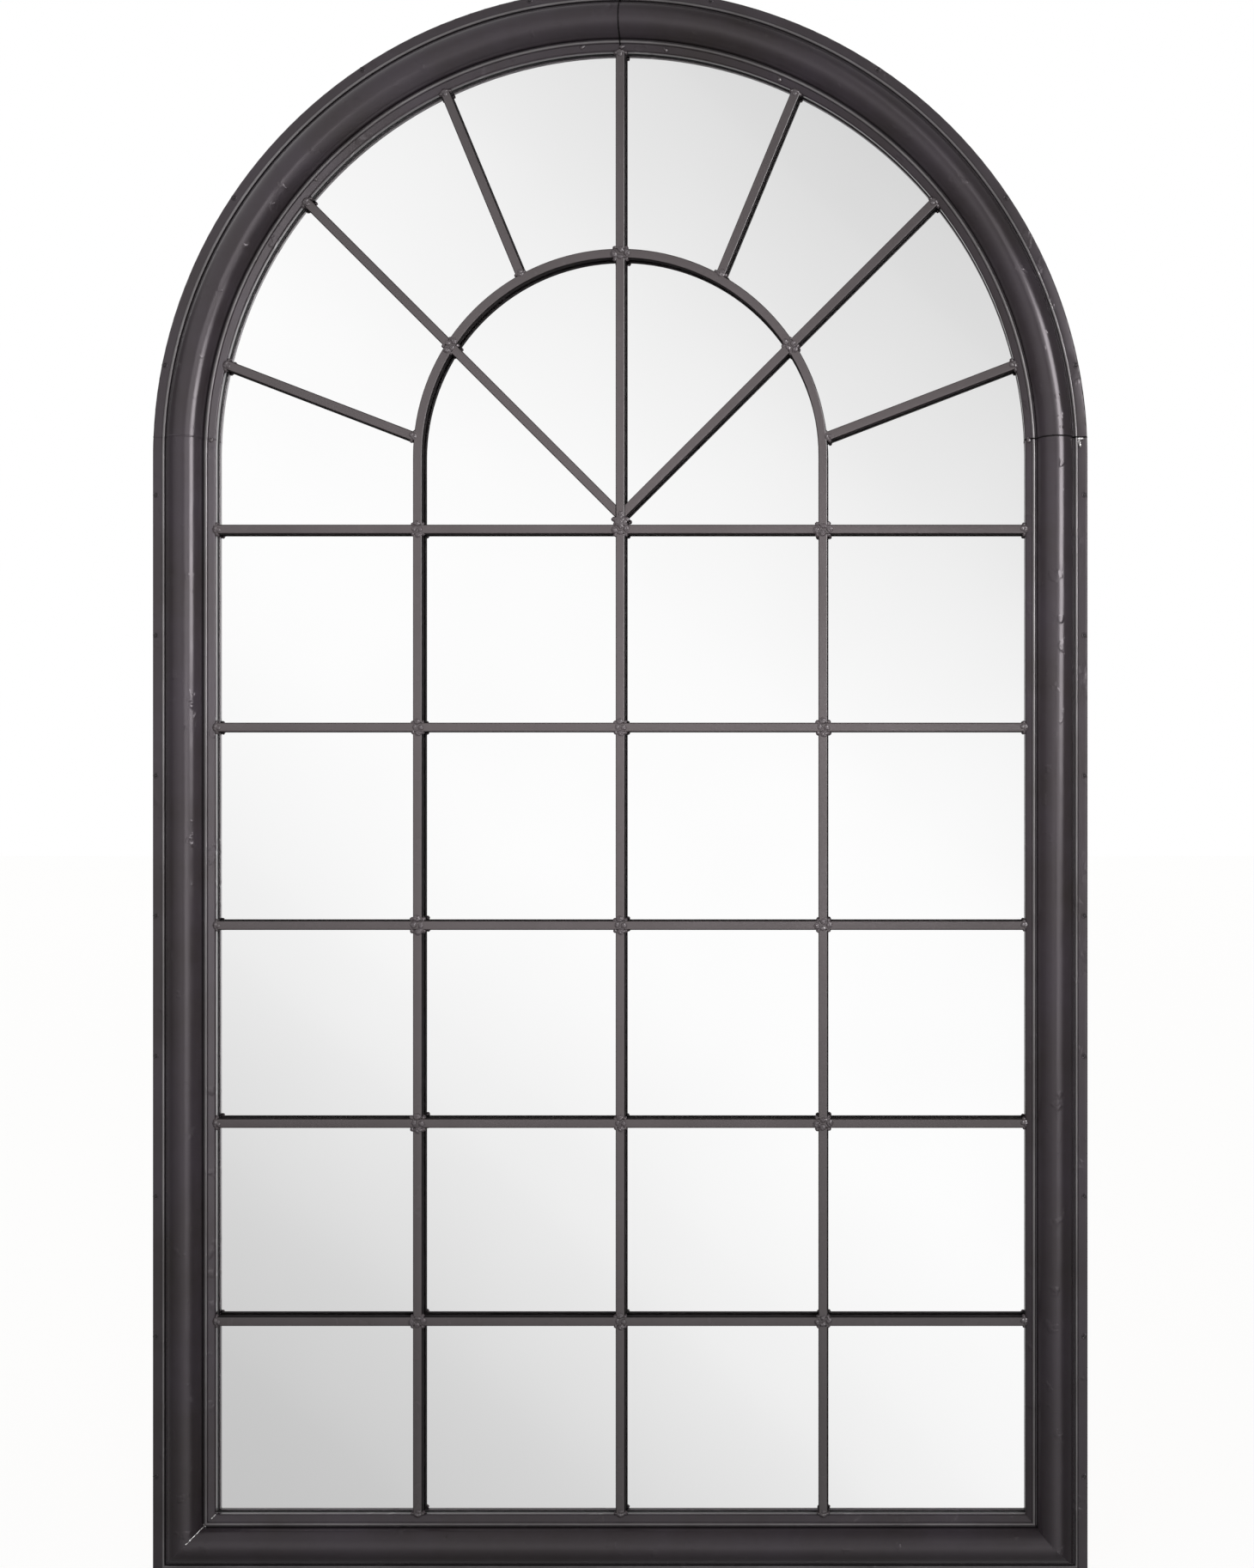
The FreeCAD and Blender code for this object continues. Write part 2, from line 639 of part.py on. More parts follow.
def d_ring():
    """Wire ring that hangs from the strap: straight top, rounded corners, round bow."""
    y = MID_DEPTH - HINGE_LEVEL
    top = RING_HALF_WIDTH - RING_CORNER
    side_foot = -RING_CORNER - RING_SIDE
    bar = Part.makeCylinder(RING_WIRE_RADIUS, 2 * top, Vector(-top, y, 0), Vector(1, 0, 0))
    bow = wire_bend(RING_HALF_WIDTH, 180, Vector(0, y, side_foot), 180)
    parts = [bar, bow]
    for side, start in ((1, 0), (-1, 90)):
        parts.append(wire_bend(RING_CORNER, 90, Vector(side * top, y, -RING_CORNER), start))
        foot = Vector(side * RING_HALF_WIDTH, y, side_foot)
        parts.append(Part.makeCylinder(RING_WIRE_RADIUS, RING_SIDE, foot, Vector(0, 0, 1)))
    return fused(parts)


def wall_bumper():
    disc = Part.makeCylinder(BUMPER_RADIUS, BUMPER, Vector(0, MID_DEPTH, 0), BACKWARD)
    rim = [edge for edge in disc.Edges if edge.BoundBox.YMin > MID_DEPTH + BUMPER / 2]
    return disc.makeChamfer(BUMPER_EDGE, rim)


def wall_bumpers():
    stations = stile_stations(BUMPER_HEIGHT)
    stations += [arch_station(BUMPER_ANGLE), arch_station(180 - BUMPER_ANGLE)]
    return repeated(placed(wall_bumper(), BATTEN_MIDDLE, 0), stations)


def back_hardware():
    """Everything screwed or stuck to the timber frame's back."""
    strap_screws = []
    for side in (-1, 1):
        strap_screws += [placed(back_screw(), side * HANGER_X, HINGE_HEIGHT - z) for z in STRAP_HOLES]
    return {
        "joint_plates": Part.makeCompound([placed(joint_plate(), *place) for place in plate_places()]),
        "plate_screws": Part.makeCompound(at_plate_holes(back_screw())),
        "left_hanger_strap": placed(hanger_strap(), -HANGER_X, HINGE_HEIGHT),
        "right_hanger_strap": placed(hanger_strap(), HANGER_X, HINGE_HEIGHT),
        "left_d_ring": placed(d_ring(), -HANGER_X, HINGE_HEIGHT),
        "right_d_ring": placed(d_ring(), HANGER_X, HINGE_HEIGHT),
        "hanger_screws": Part.makeCompound(strap_screws),
        "wall_bumpers": Part.makeCompound(wall_bumpers()),
    }


# ---------- assembly ----------

def back_screw_holes():
    hole = countersunk_screw(HOLE_CLEARANCE)
    holes = at_plate_holes(hole)
    for side in (-1, 1):
        holes += [placed(hole, side * HANGER_X, HINGE_HEIGHT - z) for z in STRAP_HOLES]
    return holes


def build():
    pin_holes = repeated(pin_hole(), pin_stations())
    clip_holes = repeated(clip_screw_hole(), clip_stations())
    pieces = mouldings(pin_holes)
    pieces.update(battens(pin_holes + clip_holes + back_screw_holes()))
    pieces.update(crossbars())
    pieces.update(mullions())
    pieces["fan_arch"] = fan_arch()
    pieces.update(fan_spokes())
    pieces.update(glazing())
    pieces["sheet_pins"] = Part.makeCompound(repeated(sheet_pin(), pin_stations()))
    pieces["board_clips"] = Part.makeCompound(repeated(board_clip(), clip_stations()))
    pieces["clip_screws"] = Part.makeCompound(repeated(clip_screw(), clip_stations()))
    pieces.update(back_hardware())
    return pieces


os.makedirs("parts", exist_ok=True)
for node, shape in build().items():
    shape.exportStep(f"parts/{node}.step")
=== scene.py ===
import math
import random

import bpy
from mathutils import Matrix, Vector


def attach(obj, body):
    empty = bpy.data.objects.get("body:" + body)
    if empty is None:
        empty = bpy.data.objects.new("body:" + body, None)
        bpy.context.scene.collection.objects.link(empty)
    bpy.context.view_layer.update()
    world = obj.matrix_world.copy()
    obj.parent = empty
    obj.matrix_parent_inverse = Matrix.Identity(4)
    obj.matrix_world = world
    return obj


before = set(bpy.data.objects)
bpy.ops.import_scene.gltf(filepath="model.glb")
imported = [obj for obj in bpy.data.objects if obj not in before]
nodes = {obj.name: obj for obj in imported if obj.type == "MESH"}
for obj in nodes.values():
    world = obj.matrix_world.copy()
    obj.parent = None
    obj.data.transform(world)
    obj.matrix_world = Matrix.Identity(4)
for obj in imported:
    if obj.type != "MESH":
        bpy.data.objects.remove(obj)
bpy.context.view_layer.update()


# ---------- camera ----------
# Stands level at the mirror's middle height, a little to its right, and square to it.
# Its lens is shifted back to the left, so that the mirror fills the picture.

SENSOR = 36.0                # mm
LONG_SIDE = 1.677            # metres of the frame's plane that the picture's height takes in
FRAME_PLANE = -0.012
STAND_OFF = 2.0
LENS_SHIFT = -0.17           # of the picture's height
PICTURE_MIDDLE = (0.0074, 0.8489)

camera_data = bpy.data.cameras.new("camera")
camera_data.sensor_width = SENSOR
camera_data.lens = SENSOR * STAND_OFF / LONG_SIDE
camera_data.shift_x = LENS_SHIFT
camera = bpy.data.objects.new("camera", camera_data)
bpy.context.scene.collection.objects.link(camera)
camera_x = PICTURE_MIDDLE[0] - LENS_SHIFT * LONG_SIDE
camera.location = (camera_x, FRAME_PLANE - STAND_OFF, PICTURE_MIDDLE[1])
camera.rotation_euler = (math.pi / 2, 0, 0)
bpy.context.scene.camera = camera
bpy.context.scene.view_settings.view_transform = "Standard"


# ---------- studio ----------
# White room with a pale floor. The mirror shows the room in front of it, which is
# brightest in a slanting band and greyer towards two corners.

def linear(code):
    """Linear colour from an sRGB hex code."""
    channels = [int(code[start:start + 2], 16) / 255 for start in (1, 3, 5)]
    steps = [c / 12.92 if c <= 0.04045 else ((c + 0.055) / 1.055) ** 2.4 for c in channels]
    return (*steps, 1.0)


def add(tree, kind, settings=None, inputs=None, stops=()):
    """Adds a node. Each input is a value, or a socket to link. The stops are a colour ramp's,
    each a place and a hex code or a grey level."""
    node = tree.nodes.new(kind)
    for name, value in (settings or {}).items():
        setattr(node, name, value)
    for name, value in (inputs or {}).items():
        if isinstance(value, bpy.types.NodeSocket):
            tree.links.new(value, node.inputs[name])
        else:
            node.inputs[name].default_value = value
    for _ in stops[2:]:
        node.color_ramp.elements.new(1.0)
    for number, (spot, value) in enumerate(stops):
        stop = node.color_ramp.elements[number]
        stop.position = spot
        stop.color = linear(value) if isinstance(value, str) else (value, value, value, 1.0)
    return node


EASED = {"interpolation_type": "SMOOTHSTEP"}
ROOM_WHITE = 1.0
ROOM_LIGHT = (0.36, 0.85)    # what the room gives to a matt surface, from in front and behind
LIGHT_TURN = (0.0, 0.5)      # the direction's Y between the two
BAND_SLOPE = (0.65, 0.0, 0.76)
BAND_RANGE = (-0.85, 0.95)   # of the slope, over which the room's band is drawn
BAND = [
    (0.0, 0.20), (0.167, 0.45), (0.239, 0.605), (0.275, 0.715), (0.314, 0.845),
    (0.339, 0.92), (0.379, 0.99), (0.428, 1.0), (0.472, 0.97), (0.533, 0.875),
    (0.582, 0.76), (0.604, 0.70), (0.722, 0.62), (0.83, 0.35), (0.94, 0.12),
]
BRIGHT_SIDE = 3.0            # how much brighter the room is in front to the right
BRIGHT_TURN = (0.10, 0.22)   # the direction's X where that begins
BRIGHT_FOOT = (-0.08, -0.30)     # the direction's Z where it ends, below
SIDE_DARK = 0.16             # the room's unlit sides, seen in the bead's flanks
RIGHT_SIDE = (0.42, 0.80)    # the direction's X where each side begins
LEFT_SIDE = (-0.80, -0.95)
BEHIND_WHITE = 1.1
BEHIND_TURN = (0.72, 0.92)   # the direction's Y where the room behind begins

world = bpy.data.worlds.new("studio")
bpy.context.scene.world = world
world.use_nodes = True
tree = world.node_tree
tree.nodes.clear()
direction = add(tree, "ShaderNodeTexCoord").outputs["Generated"]
unit = add(tree, "ShaderNodeVectorMath", {"operation": "NORMALIZE"}, {0: direction})
parts = add(tree, "ShaderNodeSeparateXYZ", inputs={0: unit.outputs[0]})
across = add(tree, "ShaderNodeVectorMath", {"operation": "DOT_PRODUCT"}, {
    0: unit.outputs[0], 1: BAND_SLOPE})
band_place = add(tree, "ShaderNodeMapRange", inputs={
    "Value": across.outputs["Value"], "From Min": BAND_RANGE[0], "From Max": BAND_RANGE[1]})
band = add(tree, "ShaderNodeValToRGB", inputs={"Fac": band_place.outputs[0]}, stops=BAND)
band.color_ramp.interpolation = "CARDINAL"
bright_side = add(tree, "ShaderNodeMapRange", EASED, {
    "Value": parts.outputs["X"], "From Min": BRIGHT_TURN[0], "From Max": BRIGHT_TURN[1],
    "To Min": 1.0, "To Max": BRIGHT_SIDE})
bright_foot = add(tree, "ShaderNodeMapRange", EASED, {
    "Value": parts.outputs["Z"], "From Min": BRIGHT_FOOT[0], "From Max": BRIGHT_FOOT[1],
    "To Min": bright_side.outputs[0], "To Max": 1.0})
lit_room = add(tree, "ShaderNodeMath", {"operation": "MULTIPLY"}, {
    0: band.outputs["Color"], 1: bright_foot.outputs[0]})
right_side = add(tree, "ShaderNodeMapRange", EASED, {
    "Value": parts.outputs["X"], "From Min": RIGHT_SIDE[0], "From Max": RIGHT_SIDE[1]})
left_side = add(tree, "ShaderNodeMapRange", EASED, {
    "Value": parts.outputs["X"], "From Min": LEFT_SIDE[0], "From Max": LEFT_SIDE[1]})
sides = add(tree, "ShaderNodeMath", {"operation": "MAXIMUM"}, {
    0: right_side.outputs[0], 1: left_side.outputs[0]})
with_sides = add(tree, "ShaderNodeMix", {"data_type": "FLOAT"}, {
    "Factor": sides.outputs[0], "A": lit_room.outputs[0], "B": SIDE_DARK})
behind = add(tree, "ShaderNodeMapRange", EASED, {
    "Value": parts.outputs["Y"], "From Min": BEHIND_TURN[0], "From Max": BEHIND_TURN[1]})
glossy_room = add(tree, "ShaderNodeMix", {"data_type": "FLOAT"}, {
    "Factor": behind.outputs[0], "A": with_sides.outputs["Result"], "B": BEHIND_WHITE})
matt_room = add(tree, "ShaderNodeMapRange", EASED, {
    "Value": parts.outputs["Y"], "From Min": LIGHT_TURN[0], "From Max": LIGHT_TURN[1],
    "To Min": ROOM_LIGHT[0], "To Max": ROOM_LIGHT[1]})
path = add(tree, "ShaderNodeLightPath")
mirrored = add(tree, "ShaderNodeMath", {"operation": "MAXIMUM"}, {
    0: path.outputs["Is Glossy Ray"], 1: path.outputs["Is Transmission Ray"]})
unseen = add(tree, "ShaderNodeMix", {"data_type": "FLOAT"}, {
    "Factor": mirrored.outputs[0], "A": matt_room.outputs[0], "B": glossy_room.outputs["Result"]})
strength = add(tree, "ShaderNodeMix", {"data_type": "FLOAT"}, {
    "Factor": path.outputs["Is Camera Ray"], "A": unseen.outputs["Result"], "B": ROOM_WHITE})
background = add(tree, "ShaderNodeBackground", inputs={
    "Color": linear("#ffffff"), "Strength": strength.outputs["Result"]})
add(tree, "ShaderNodeOutputWorld", inputs={"Surface": background.outputs[0]})


def new_finish(name):
    """New material and its node tree, still empty."""
    finish = bpy.data.materials.new(name)
    finish.use_nodes = True
    finish.node_tree.nodes.clear()
    return finish, finish.node_tree


# Smooth pale floor with faint clouds.

FLOOR_SIZE = 40.0
FLOOR_GLOW = 0.80            # the floor's own white, so that it joins the white room

bpy.ops.mesh.primitive_plane_add(size=FLOOR_SIZE)
floor = bpy.context.object
floor.name = "floor"
floor_finish, tree = new_finish("pale_floor")
grain = add(tree, "ShaderNodeTexNoise", inputs={"Scale": 1.5, "Detail": 3.0})
shade = add(tree, "ShaderNodeValToRGB", inputs={"Fac": grain.outputs["Fac"]}, stops=[
    (0.3, "#9c9b99"), (0.7, "#a3a2a0")])
matt = add(tree, "ShaderNodeBsdfDiffuse", inputs={"Color": shade.outputs["Color"]})
path = add(tree, "ShaderNodeLightPath")
glow = add(tree, "ShaderNodeMath", {"operation": "MULTIPLY"}, {
    0: path.outputs["Is Camera Ray"], 1: FLOOR_GLOW})
white = add(tree, "ShaderNodeEmission", inputs={
    "Color": linear("#ffffff"), "Strength": glow.outputs[0]})
both = add(tree, "ShaderNodeAddShader", inputs={0: matt.outputs[0], 1: white.outputs[0]})
add(tree, "ShaderNodeOutputMaterial", inputs={"Surface": both.outputs[0]})
floor.data.materials.append(floor_finish)
floor.visible_glossy = False

# A broad lit panel stands in front to the right, and fades out towards its edges. It
# draws the long highlights on the bead.

PANEL_NEAR_END = (1.55, -3.10)
PANEL_FAR_END = (3.05, -1.95)
PANEL_HEIGHTS = (0.60, 2.85)
PANEL_GLOW = 10.0
END_FADE = 0.35              # share of its width
FOOT_FADE = 0.40             # shares of its height
TOP_FADE = 0.08

run = Vector(PANEL_FAR_END) - Vector(PANEL_NEAR_END)
middle = (Vector(PANEL_FAR_END) + Vector(PANEL_NEAR_END)) / 2
bpy.ops.mesh.primitive_plane_add(size=1.0, rotation=(math.pi / 2, 0, 0))
panel = bpy.context.object
panel.name = "lit_panel"
bpy.ops.object.transform_apply()
panel.location = (middle.x, middle.y, sum(PANEL_HEIGHTS) / 2)
panel.rotation_euler = (0, 0, math.atan2(run.y, run.x))
panel.scale = (run.length, 1.0, PANEL_HEIGHTS[1] - PANEL_HEIGHTS[0])
panel_finish, tree = new_finish("lit_panel")
place = add(tree, "ShaderNodeTexCoord").outputs["Object"]
parts = add(tree, "ShaderNodeSeparateXYZ", inputs={0: place})
glow = PANEL_GLOW
for axis, edge, full in [("X", -0.5, -0.5 + END_FADE), ("X", 0.5, 0.5 - END_FADE),
                         ("Z", -0.5, -0.5 + FOOT_FADE), ("Z", 0.5, 0.5 - TOP_FADE)]:
    fade = add(tree, "ShaderNodeMapRange", EASED, {
        "Value": parts.outputs[axis], "From Min": edge, "From Max": full})
    glow = add(tree, "ShaderNodeMath", {"operation": "MULTIPLY"}, {
        0: fade.outputs[0], 1: glow}).outputs[0]
white = add(tree, "ShaderNodeEmission", inputs={"Color": linear("#ffffff"), "Strength": glow})
clear = add(tree, "ShaderNodeBsdfTransparent")
both = add(tree, "ShaderNodeAddShader", inputs={0: clear.outputs[0], 1: white.outputs[0]})
add(tree, "ShaderNodeOutputMaterial", inputs={"Surface": both.outputs[0]})
panel.data.materials.append(panel_finish)
panel.visible_camera = False
panel.visible_shadow = False
panel.visible_diffuse = False

# A soft lamp in front lights the middle most, and the crown and the foot least.

LAMP_PLACE = Vector((0.25, -1.60, 1.00))
LAMP_AIM = Vector((0.0, 0.0, 0.98))
LAMP_SIZE = 0.8
LAMP_WATTS = 2.9
LAMP_SPREAD = 60.0           # degrees

lamp_data = bpy.data.lights.new("front_lamp", "AREA")
lamp_data.shape = "DISK"
lamp_data.size = LAMP_SIZE
lamp_data.energy = LAMP_WATTS
lamp_data.spread = math.radians(LAMP_SPREAD)
lamp = bpy.data.objects.new("front_lamp", lamp_data)
bpy.context.scene.collection.objects.link(lamp)
lamp.location = LAMP_PLACE
lamp.rotation_euler = (LAMP_AIM - LAMP_PLACE).to_track_quat("-Z", "Y").to_euler()
lamp.visible_glossy = False


# ---------- sheet moulding ----------
# Pressed steel sheet in five pieces: a flat flange, a rounded bead between two small
# ribs, and a lip folded back over the glass. It is pinned to the timber and sprayed in a
# satin gunmetal paint. The hand-beaten sheet is never quite flat, so its highlights waver.

MM = 0.001
OUTER = 500.0                # half the frame's width, and its arch's radius
SPRINGING = 1200.0           # height at which the arch starts
MOULDING_WIDTH = 66.6
MERGE = 0.002                # joins the loose triangles of the CAD meshes
CRISP = 28.0                 # degrees: a sharper arris isn't shaded smooth


def dress(names, finish):
    """Puts a finish on CAD nodes, and shades them smooth between their arrises."""
    for name in names:
        node = nodes[name]
        node.data.materials.clear()
        node.data.materials.append(finish)
        node.data.polygons.foreach_set("use_smooth", [True] * len(node.data.polygons))
        weld = node.modifiers.new("weld", "WELD")
        weld.merge_threshold = MERGE * MM
        split = node.modifiers.new("edges", "EDGE_SPLIT")
        split.split_angle = math.radians(CRISP)


def edge_inset(tree, place):
    """How far a place lies in from the frame's outer edge, in metres."""
    parts = add(tree, "ShaderNodeSeparateXYZ", inputs={0: place})
    rise = add(tree, "ShaderNodeMapRange", inputs={
        "Value": parts.outputs["Z"],
        "From Min": SPRINGING * MM, "From Max": SPRINGING * MM + 1.0})
    spoke = add(tree, "ShaderNodeCombineXYZ", inputs={
        "X": parts.outputs["X"], "Z": rise.outputs[0]})
    reach = add(tree, "ShaderNodeVectorMath", {"operation": "LENGTH"}, {0: spoke.outputs[0]})
    inside = add(tree, "ShaderNodeMath", {"operation": "SUBTRACT"}, {
        0: OUTER * MM, 1: reach.outputs["Value"]})
    return add(tree, "ShaderNodeMath", {"operation": "MINIMUM"}, {
        0: inside.outputs[0], 1: parts.outputs["Z"]}).outputs[0]


MULTIPLIED = {"data_type": "RGBA", "blend_type": "MULTIPLY"}
FRONT_TURN = (-0.70, -0.97)  # the normal's Y, from the arrises to the front faces
DRY_TURN = (-0.60, -0.95)
DRY = 0.95                   # roughness of the sides, which the lacquer hardly reached
WORN_RIBS = [(10.4, 13.8), (55.7, 59.3)]     # mm in from the outer edge
WORN_EDGE = 1.0


def gunmetal(name, dark, light, roughness, wave_depth, wave_length,
             arris=1.0, lacquer=0.0, gloss=0.5, ribs=0.0):
    """Satin gunmetal paint, with waves measured in millimetres. The arris is how much of
    its colour it keeps off the front faces, as painted shade on the arrises and sides. The
    lacquer is a clear coat on the front faces alone. Ribs is how far it is worn through to
    the steel along the moulding's two ribs."""
    finish, tree = new_finish(name)
    place = add(tree, "ShaderNodeTexCoord").outputs["Object"]
    normal = add(tree, "ShaderNodeSeparateXYZ", inputs={
        0: add(tree, "ShaderNodeNewGeometry").outputs["Normal"]})

    # The colour drifts over a hand's breadth. Painted shade darkens it in corners and creases,
    # where ambient occlusion finds them, and on the arrises and sides when the arris is below
    # one.
    clouds = add(tree, "ShaderNodeTexNoise", inputs={
        "Vector": place, "Scale": 1 / (111.1 * MM), "Detail": 4.0, "Roughness": 0.6})
    colour = add(tree, "ShaderNodeValToRGB", inputs={"Fac": clouds.outputs["Fac"]}, stops=[
        (0.3, dark), (0.7, light)])
    # Painted shade: ambient occlusion darkens the colour in corners and creases.
    corners = add(tree, "ShaderNodeAmbientOcclusion", {"samples": 6}, {"Distance": 4.0 * MM})
    crease_shade = add(tree, "ShaderNodeMapRange", inputs={
        "Value": corners.outputs["AO"], "From Min": 0.35, "From Max": 0.85,
        "To Min": 0.25, "To Max": 1.0})
    crease_shaded = add(tree, "ShaderNodeMix", MULTIPLIED, {
        "Factor": 1.0, "A": colour.outputs["Color"], "B": crease_shade.outputs[0]})
    # Painted shade: off the front faces, on the arrises and sides, the colour keeps only the
    # arris share.
    front = add(tree, "ShaderNodeMapRange", EASED, {
        "Value": normal.outputs["Y"], "From Min": FRONT_TURN[0], "From Max": FRONT_TURN[1],
        "To Min": arris, "To Max": 1.0})
    side_shaded = add(tree, "ShaderNodeMix", MULTIPLIED, {
        "Factor": 1.0, "A": crease_shaded.outputs["Result"], "B": front.outputs[0]})

    # Smears vary the satin. The beaten waves and knocks bend the highlights, and the
    # spray's orange peel breaks their edges: it is drawn coarser than it is, to show.
    smear = add(tree, "ShaderNodeTexNoise", inputs={
        "Vector": place, "Scale": 1 / (25.0 * MM), "Detail": 5.0})
    satin = add(tree, "ShaderNodeMapRange", inputs={
        "Value": smear.outputs["Fac"], "From Min": 0.3, "From Max": 0.7,
        "To Min": roughness - 0.03, "To Max": roughness + 0.04})
    wave = add(tree, "ShaderNodeTexNoise", inputs={
        "Vector": place, "Scale": 1 / (wave_length * MM), "Detail": 2.0, "Roughness": 0.4})
    beaten = add(tree, "ShaderNodeBump", inputs={
        "Strength": 1.0, "Distance": wave_depth * MM, "Height": wave.outputs["Fac"]})
    knock = add(tree, "ShaderNodeTexNoise", inputs={
        "Vector": place, "Scale": 1 / (22.0 * MM), "Detail": 3.0})
    knocks = add(tree, "ShaderNodeMapRange", EASED, {
        "Value": knock.outputs["Fac"], "From Min": 0.60, "From Max": 0.72})
    dented = add(tree, "ShaderNodeBump", inputs={
        "Strength": 1.0, "Distance": wave_depth * 0.3 * MM, "Height": knocks.outputs[0],
        "Normal": beaten.outputs["Normal"]})
    peel = add(tree, "ShaderNodeTexNoise", inputs={
        "Vector": place, "Scale": 1 / (1.43 * MM), "Detail": 2.0})
    sprayed = add(tree, "ShaderNodeBump", inputs={
        "Strength": 0.2, "Distance": 0.02 * MM, "Height": peel.outputs["Fac"],
        "Normal": dented.outputs["Normal"]})
    paint = add(tree, "ShaderNodeBsdfPrincipled", inputs={
        "Base Color": side_shaded.outputs["Result"], "Roughness": satin.outputs[0],
        "Specular IOR Level": gloss, "Specular Tint": linear("#fff7fc"),
        "Coat Roughness": 0.12, "Normal": sprayed.outputs["Normal"]})
    add(tree, "ShaderNodeOutputMaterial", inputs={"Surface": paint.outputs[0]})

    if lacquer:
        dry = add(tree, "ShaderNodeMapRange", EASED, {
            "Value": normal.outputs["Y"], "From Min": DRY_TURN[0], "From Max": DRY_TURN[1],
            "To Min": DRY, "To Max": satin.outputs[0]})
        tree.links.new(dry.outputs[0], paint.inputs["Roughness"])
        coated = add(tree, "ShaderNodeMapRange", EASED, {
            "Value": normal.outputs["Y"], "From Min": FRONT_TURN[0],
            "From Max": FRONT_TURN[1], "To Min": 0.0, "To Max": lacquer})
        tree.links.new(coated.outputs[0], paint.inputs["Coat Weight"])

    if ribs:
        section = add(tree, "ShaderNodeMapRange", inputs={
            "Value": edge_inset(tree, place), "From Max": MOULDING_WIDTH * MM})
        wear = [(inset / MOULDING_WIDTH, level) for start, stop in WORN_RIBS
                for inset, level in ((start, 0.0), (start + WORN_EDGE, 1.0),
                                     (stop - WORN_EDGE, 1.0), (stop, 0.0))]
        along_ribs = add(tree, "ShaderNodeValToRGB", inputs={
            "Fac": section.outputs[0]}, stops=wear)
        patchy = add(tree, "ShaderNodeMapRange", inputs={
            "Value": clouds.outputs["Fac"], "From Min": 0.35, "From Max": 0.65,
            "To Min": 0.55, "To Max": 1.0})
        worn = add(tree, "ShaderNodeMath", {"operation": "MULTIPLY"}, {
            0: along_ribs.outputs["Color"], 1: patchy.outputs[0]})
        share = add(tree, "ShaderNodeMath", {"operation": "MULTIPLY"}, {
            0: worn.outputs[0], 1: ribs})
        steel = add(tree, "ShaderNodeMix", {"data_type": "RGBA"}, {
            "Factor": share.outputs[0], "A": side_shaded.outputs["Result"],
            "B": linear("#d2d0cf")})
        tree.links.new(steel.outputs["Result"], paint.inputs["Base Color"])
        tree.links.new(share.outputs[0], paint.inputs["Metallic"])
    return finish


# Near black with a hint of violet, smooth enough for long pale highlights that waver
# along the bead, and two thin pale lines where the ribs are worn.
# Painted shade darkens the creases between the bead, the ribs and the lip.
sheet_paint = gunmetal("satin_gunmetal_on_sheet", "#3a3434", "#474047", 0.18, 1.0, 70.0,
                       ribs=0.32)
dress(["left_stile_moulding", "right_stile_moulding", "bottom_rail_moulding",
       "left_arch_moulding", "right_arch_moulding"], sheet_paint)


# ---------- pins ----------
# Thirty small round-headed steel pins, driven through the flange into the timber and
# sprayed over. Each has pushed up a low ring of sheet round its head.

# The heads are painted near black, as painted shade for the dents round them, and keep a sharp
# glint.
pin_paint = gunmetal("gunmetal_on_pins", "#1d1a1b", "#2b2729", 0.20, 0.05, 4.0)
dress(["sheet_pins"], pin_paint)

PIN_INSET = 3.5              # from the frame's outer edge
STILE_PINS = [1158.0 - 150.0 * step for step in range(8)]
RAIL_PINS = (75.0, 225.0, 375.0)
ARCH_PINS = [11.25 + 22.5 * step for step in range(8)]       # degrees
PUCKER_RADIUS = 2.4
PUCKER_ROLL = 0.8
PUCKER_SQUASH = 0.6
PUCKER_FACE = -11.95         # the flange's own face is at -12


def joined(objects, name):
    """Objects as one, with its place in its mesh."""
    bpy.ops.object.select_all(action="DESELECT")
    for piece in objects:
        piece.select_set(True)
    bpy.context.view_layer.objects.active = objects[0]
    if len(objects) > 1:
        bpy.ops.object.join()
    bpy.ops.object.transform_apply()
    objects[0].name = name
    return objects[0]


def painted(piece, finish):
    """Gives a piece its finish, and its place on the frame."""
    piece.data.materials.clear()
    piece.data.materials.append(finish)
    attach(piece, "frame")


reach = OUTER - PIN_INSET
pin_places = [(side * reach, z) for side in (-1, 1) for z in STILE_PINS]
pin_places += [(side * x, PIN_INSET) for side in (-1, 1) for x in RAIL_PINS]
for turn in map(math.radians, ARCH_PINS):
    pin_places.append((reach * math.cos(turn), SPRINGING + reach * math.sin(turn)))
puckers = []
for x, z in pin_places:
    spot = (x * MM, PUCKER_FACE * MM, z * MM)
    bpy.ops.mesh.primitive_torus_add(
        major_segments=20, minor_segments=8, major_radius=PUCKER_RADIUS * MM,
        minor_radius=PUCKER_ROLL * MM, rotation=(math.pi / 2, 0, 0), location=spot)
    bpy.ops.object.transform_apply()
    bpy.ops.object.mode_set(mode="EDIT")
    bpy.ops.transform.resize(value=(1.0, PUCKER_SQUASH, 1.0), center_override=spot)
    bpy.ops.object.mode_set(mode="OBJECT")
    bpy.ops.object.shade_smooth()
    puckers.append(bpy.context.object)
painted(joined(puckers, "pin_puckers"), sheet_paint)


# ---------- glazing bars ----------
# Steel bar, 10 mm wide and 8 mm deep with rounded front arrises: five crossbars, mullions
# cut between them, one bar bent to the fan's arch, and spokes. They are welded into one
# grid in front of the glass, and sprayed from the front.

# A greyer, flatter paint than the sheet's. The front faces have an even soft sheen, and
# the sides are painted nearly black, as painted shade, and are dry.
bar_paint = gunmetal("satin_gunmetal_on_bars", "#554d4e", "#5e5658", 0.25, 0.06, 25.0,
                     arris=0.12, lacquer=1.0, gloss=0.15)
BARS = [name for name in nodes if "crossbar" in name or "mullion" in name or "spoke" in name]
dress(BARS + ["fan_arch"], bar_paint)


# ---------- bar welds ----------
# Lumpy electric welds, left unground and painted over: one at each crossing, one at each
# bar's end on the lip or the fan's arch, and a larger one where the spokes meet.

